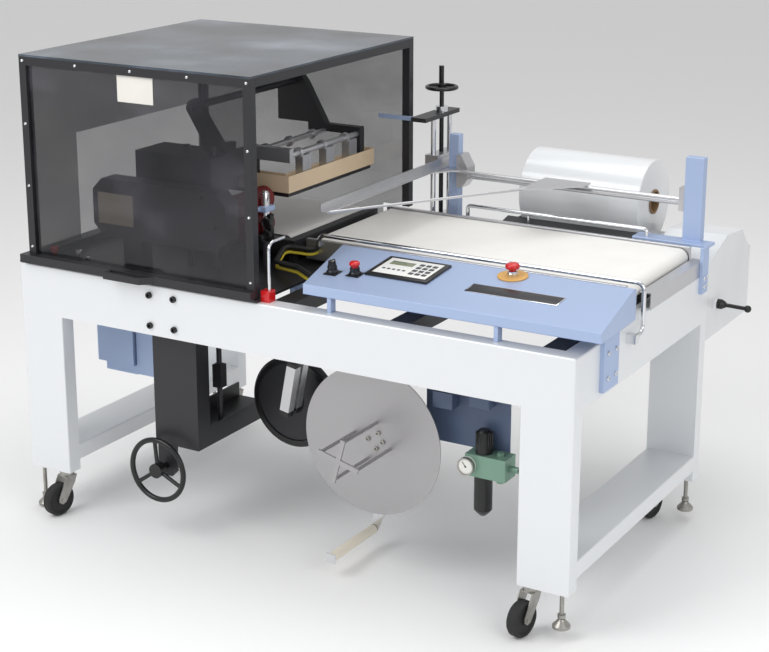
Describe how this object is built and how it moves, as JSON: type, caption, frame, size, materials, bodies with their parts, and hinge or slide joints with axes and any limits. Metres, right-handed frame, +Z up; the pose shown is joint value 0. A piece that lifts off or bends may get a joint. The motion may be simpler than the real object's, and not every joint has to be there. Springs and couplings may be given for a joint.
{
  "type": "l bar sealer",
  "caption": "L bar sealing machine: tubular frame on casters, infeed and exit belts, tilting smoked hood over an L-shaped seal head, film unwind, trim winder and sloping console.",
  "frame": {"origin": "centre of the machine's plan outline, on the floor", "axes": "+X along the machine towards the infeed end, +Y away from the operator, +Z up"},
  "size_m": [1.893, 1.415, 1.402],
  "materials": {
    "frame_paint": "satin",
    "blue_paint": "satin",
    "black_paint": "satin",
    "black_anodised": "satin",
    "charcoal_cover": "satin",
    "smoked_panel": "gloss",
    "beige_channel": "satin",
    "belt_white": "matte",
    "roller_grey": "satin",
    "roller_red": "matte",
    "bright_steel": "polished",
    "brushed_disc": "satin",
    "zinc": "satin",
    "wheel_rubber": "matte",
    "film": "gloss",
    "green_cast": "satin",
    "cabinet_grey": "satin",
    "cream_roller": "satin",
    "panel_blue": "satin",
    "button_red": "gloss",
    "knob_black": "gloss",
    "plate_mixed": "satin",
    "aluminium_bar": "satin"
  },
  "bodies": {
    "frame": {"frame_legs": "frame_paint", "front_rail": "frame_paint", "frame_rails": "frame_paint", "deck": "black_paint", "exit_bed": "black_paint", "exit_belt": "belt_white", "infeed_bed": "aluminium_bar", "infeed_belt": "belt_white", "lower_jaw": "black_paint", "console_shell": "blue_paint", "control_plates": "plate_mixed", "blue_brackets": "blue_paint", "guard_rails": "bright_steel", "tower_frame": "blue_paint", "unwind_cradle": "black_paint", "drive_cabinet": "cabinet_grey", "winder_hanger": "black_paint", "valve_board": "panel_blue", "air_regulator": "green_cast", "underframe_units": "blue_paint", "lift_column": "black_paint", "drive_guard": "charcoal_cover"},
    "hood": {"hood_frame": "black_anodised", "hood_top_panel": "smoked_panel", "hood_front_panel": "smoked_panel", "hood_side_panels": "smoked_panel"},
    "seal_head": {"seal_channel": "beige_channel", "seal_carriage": "black_paint", "head_rods": "aluminium_bar"},
    "exit_drive_roller": {"exit_drive_roller": "roller_grey"},
    "exit_nose_roller": {"exit_nose_roller": "roller_grey"},
    "infeed_drive_roller": {"infeed_drive_roller": "roller_grey"},
    "infeed_nose_roller": {"infeed_nose_roller": "roller_grey"},
    "caster_fork_front_left": {"caster_fork_front_left": "zinc"},
    "caster_wheel_front_left": {"caster_wheel_front_left": "wheel_rubber"},
    "caster_fork_front_right": {"caster_fork_front_right": "zinc"},
    "caster_wheel_front_right": {"caster_wheel_front_right": "wheel_rubber"},
    "caster_fork_rear_left": {"caster_fork_rear_left": "zinc"},
    "caster_wheel_rear_left": {"caster_wheel_rear_left": "wheel_rubber"},
    "caster_fork_rear_right": {"caster_fork_rear_right": "zinc"},
    "caster_wheel_rear_right": {"caster_wheel_rear_right": "wheel_rubber"},
    "levelling_foot_front_left": {"levelling_foot_front_left": "zinc"},
    "levelling_foot_front_right": {"levelling_foot_front_right": "zinc"},
    "levelling_foot_rear_left": {"levelling_foot_rear_left": "zinc"},
    "levelling_foot_rear_right": {"levelling_foot_rear_right": "zinc"},
    "lift_handwheel": {"lift_handwheel": "knob_black"},
    "nip_roller_lower": {"nip_roller_lower": "roller_red"},
    "nip_roller_upper": {"nip_roller_upper": "roller_red"},
    "selector_knob": {"selector_knob": "knob_black"},
    "lamp_button": {"lamp_button": "button_red"},
    "stop_button": {"stop_button": "button_red"},
    "tower_screw": {"tower_screw": "knob_black"},
    "inverter_head": {"inverter_head": "aluminium_bar"},
    "film_roll": {"film_roll": "film"},
    "cradle_roller_near": {"cradle_roller_near": "roller_grey"},
    "cradle_roller_far": {"cradle_roller_far": "roller_grey"},
    "cabinet_lever": {"cabinet_lever": "knob_black"},
    "trim_winder": {"trim_winder": "brushed_disc"},
    "dancer_arm": {"dancer_arm": "bright_steel"},
    "dancer_roller": {"dancer_roller": "cream_roller"}
  },
  "joints": [
    {"name": "hood_tilt", "type": "hinge", "parent": "frame", "child": "hood", "pos_m": [-0.5015, 0.2645, 0.802], "axis": [-1, 0, 0], "range_deg": [0, 55]},
    {"name": "exit_drive_roller_spin", "type": "hinge", "parent": "frame", "child": "exit_drive_roller", "pos_m": [-0.8505, 0.0045, 0.8277], "axis": [0, 1, 0], "continuous": true},
    {"name": "exit_nose_roller_spin", "type": "hinge", "parent": "frame", "child": "exit_nose_roller", "pos_m": [-0.2805, 0.0045, 0.8277], "axis": [0, 1, 0], "continuous": true},
    {"name": "infeed_drive_roller_spin", "type": "hinge", "parent": "frame", "child": "infeed_drive_roller", "pos_m": [0.7855, 0.0165, 0.8277], "axis": [0, 1, 0], "continuous": true},
    {"name": "infeed_nose_roller_spin", "type": "hinge", "parent": "frame", "child": "infeed_nose_roller", "pos_m": [-0.1725, 0.0165, 0.8277], "axis": [0, 1, 0], "continuous": true},
    {"name": "caster_swivel_front_left", "type": "hinge", "parent": "frame", "child": "caster_fork_front_left", "pos_m": [-0.8285, -0.6025, 0.06], "axis": [0, 0, 1], "range_deg": [-45, 240]},
    {"name": "caster_roll_front_left", "type": "hinge", "parent": "caster_fork_front_left", "child": "caster_wheel_front_left", "pos_m": [-0.83575, -0.6398, 0.05], "axis": [0.9816, -0.1908, 0], "continuous": true},
    {"name": "caster_swivel_front_right", "type": "hinge", "parent": "frame", "child": "caster_fork_front_right", "pos_m": [0.7355, -0.6025, 0.06], "axis": [0, 0, 1], "range_deg": [-220, 65]},
    {"name": "caster_roll_front_right", "type": "hinge", "parent": "caster_fork_front_right", "child": "caster_wheel_front_right", "pos_m": [0.72825, -0.6398, 0.05], "axis": [0.9816, -0.1908, 0], "continuous": true},
    {"name": "caster_swivel_rear_left", "type": "hinge", "parent": "frame", "child": "caster_fork_rear_left", "pos_m": [-0.8285, 0.2875, 0.06], "axis": [0, 0, 1], "range_deg": [-45, 240]},
    {"name": "caster_roll_rear_left", "type": "hinge", "parent": "caster_fork_rear_left", "child": "caster_wheel_rear_left", "pos_m": [-0.83575, 0.2502, 0.05], "axis": [0.9816, -0.1908, 0], "continuous": true},
    {"name": "caster_swivel_rear_right", "type": "hinge", "parent": "frame", "child": "caster_fork_rear_right", "pos_m": [0.7355, 0.2875, 0.06], "axis": [0, 0, 1], "range_deg": [-220, 65]},
    {"name": "caster_roll_rear_right", "type": "hinge", "parent": "caster_fork_rear_right", "child": "caster_wheel_rear_right", "pos_m": [0.72825, 0.2502, 0.05], "axis": [0.9816, -0.1908, 0], "continuous": true},
    {"name": "foot_adjust_front_left", "type": "slide", "parent": "frame", "child": "levelling_foot_front_left", "axis": [0, 0, 1], "range_m": [-0.002, 0.04]},
    {"name": "foot_adjust_front_right", "type": "slide", "parent": "frame", "child": "levelling_foot_front_right", "axis": [0, 0, 1], "range_m": [-0.032, 0.01]},
    {"name": "foot_adjust_rear_left", "type": "slide", "parent": "frame", "child": "levelling_foot_rear_left", "axis": [0, 0, 1], "range_m": [-0.002, 0.04]},
    {"name": "foot_adjust_rear_right", "type": "slide", "parent": "frame", "child": "levelling_foot_rear_right", "axis": [0, 0, 1], "range_m": [-0.032, 0.01]},
    {"name": "lift_handwheel_turn", "type": "hinge", "parent": "frame", "child": "lift_handwheel", "pos_m": [-0.4665, -0.6195, 0.213], "axis": [0, 1, 0], "continuous": true},
    {"name": "seal_head_stroke", "type": "slide", "parent": "frame", "child": "seal_head", "axis": [0, 0, 1], "range_m": [-0.127, 0]},
    {"name": "nip_roller_lower_spin", "type": "hinge", "parent": "frame", "child": "nip_roller_lower", "pos_m": [-0.2885, -0.3675, 0.918], "axis": [0, 1, 0], "continuous": true},
    {"name": "nip_roller_upper_spin", "type": "hinge", "parent": "frame", "child": "nip_roller_upper", "pos_m": [-0.2885, -0.3675, 0.989], "axis": [0, 1, 0], "continuous": true},
    {"name": "selector_turn", "type": "hinge", "parent": "frame", "child": "selector_knob", "pos_m": [0.0705, -0.5035, 0.85994], "axis": [0, -0.0969, 0.9953], "range_deg": [-45, 45]},
    {"name": "lamp_button_press", "type": "slide", "parent": "frame", "child": "lamp_button", "axis": [0, -0.0969, 0.9953], "range_m": [-0.004, 0], "stiffness_N_per_m": 800},
    {"name": "stop_button_press", "type": "slide", "parent": "frame", "child": "stop_button", "axis": [0, -0.0969, 0.9953], "range_m": [-0.004, 0], "stiffness_N_per_m": 800},
    {"name": "tower_screw_turn", "type": "hinge", "parent": "frame", "child": "tower_screw", "pos_m": [-0.0505, 0.337, 1.238], "axis": [0, 0, 1], "continuous": true},
    {"name": "inverter_height", "type": "slide", "parent": "frame", "child": "inverter_head", "axis": [0, 0, 1], "range_m": [-0.06, 0.06]},
    {"name": "film_roll_unwind", "type": "hinge", "parent": "frame", "child": "film_roll", "pos_m": [0.3935, 0.5225, 0.912], "axis": [1, 0, 0], "continuous": true},
    {"name": "cradle_roller_near_spin", "type": "hinge", "parent": "frame", "child": "cradle_roller_near", "pos_m": [0.3885, 0.4475, 0.77945], "axis": [1, 0, 0], "continuous": true},
    {"name": "cradle_roller_far_spin", "type": "hinge", "parent": "frame", "child": "cradle_roller_far", "pos_m": [0.3885, 0.5975, 0.77945], "axis": [1, 0, 0], "continuous": true},
    {"name": "cabinet_lever_turn", "type": "hinge", "parent": "frame", "child": "cabinet_lever", "pos_m": [0.8485, 0.4225, 0.65], "axis": [1, 0, 0], "range_deg": [-45, 45]},
    {"name": "trim_winder_spin", "type": "hinge", "parent": "frame", "child": "trim_winder", "pos_m": [0.2085, -0.5275, 0.406], "axis": [0, 1, 0], "continuous": true},
    {"name": "dancer_swing", "type": "hinge", "parent": "frame", "child": "dancer_arm", "pos_m": [0.2085, -0.3615, 0.3], "axis": [0, 1, 0], "range_deg": [-35, 20]},
    {"name": "dancer_roller_spin", "type": "hinge", "parent": "dancer_arm", "child": "dancer_roller", "pos_m": [0.1165, -0.4775, 0.06], "axis": [0, 1, 0], "continuous": true}
  ],
  "couplings": [
    {"joint": "exit_nose_roller_spin", "follows": "exit_drive_roller_spin", "ratio": 1},
    {"joint": "infeed_nose_roller_spin", "follows": "infeed_drive_roller_spin", "ratio": 1},
    {"joint": "nip_roller_upper_spin", "follows": "nip_roller_lower_spin", "ratio": -1},
    {"joint": "cradle_roller_near_spin", "follows": "film_roll_unwind", "ratio": -5.9091},
    {"joint": "cradle_roller_far_spin", "follows": "film_roll_unwind", "ratio": -5.9091}
  ]
}
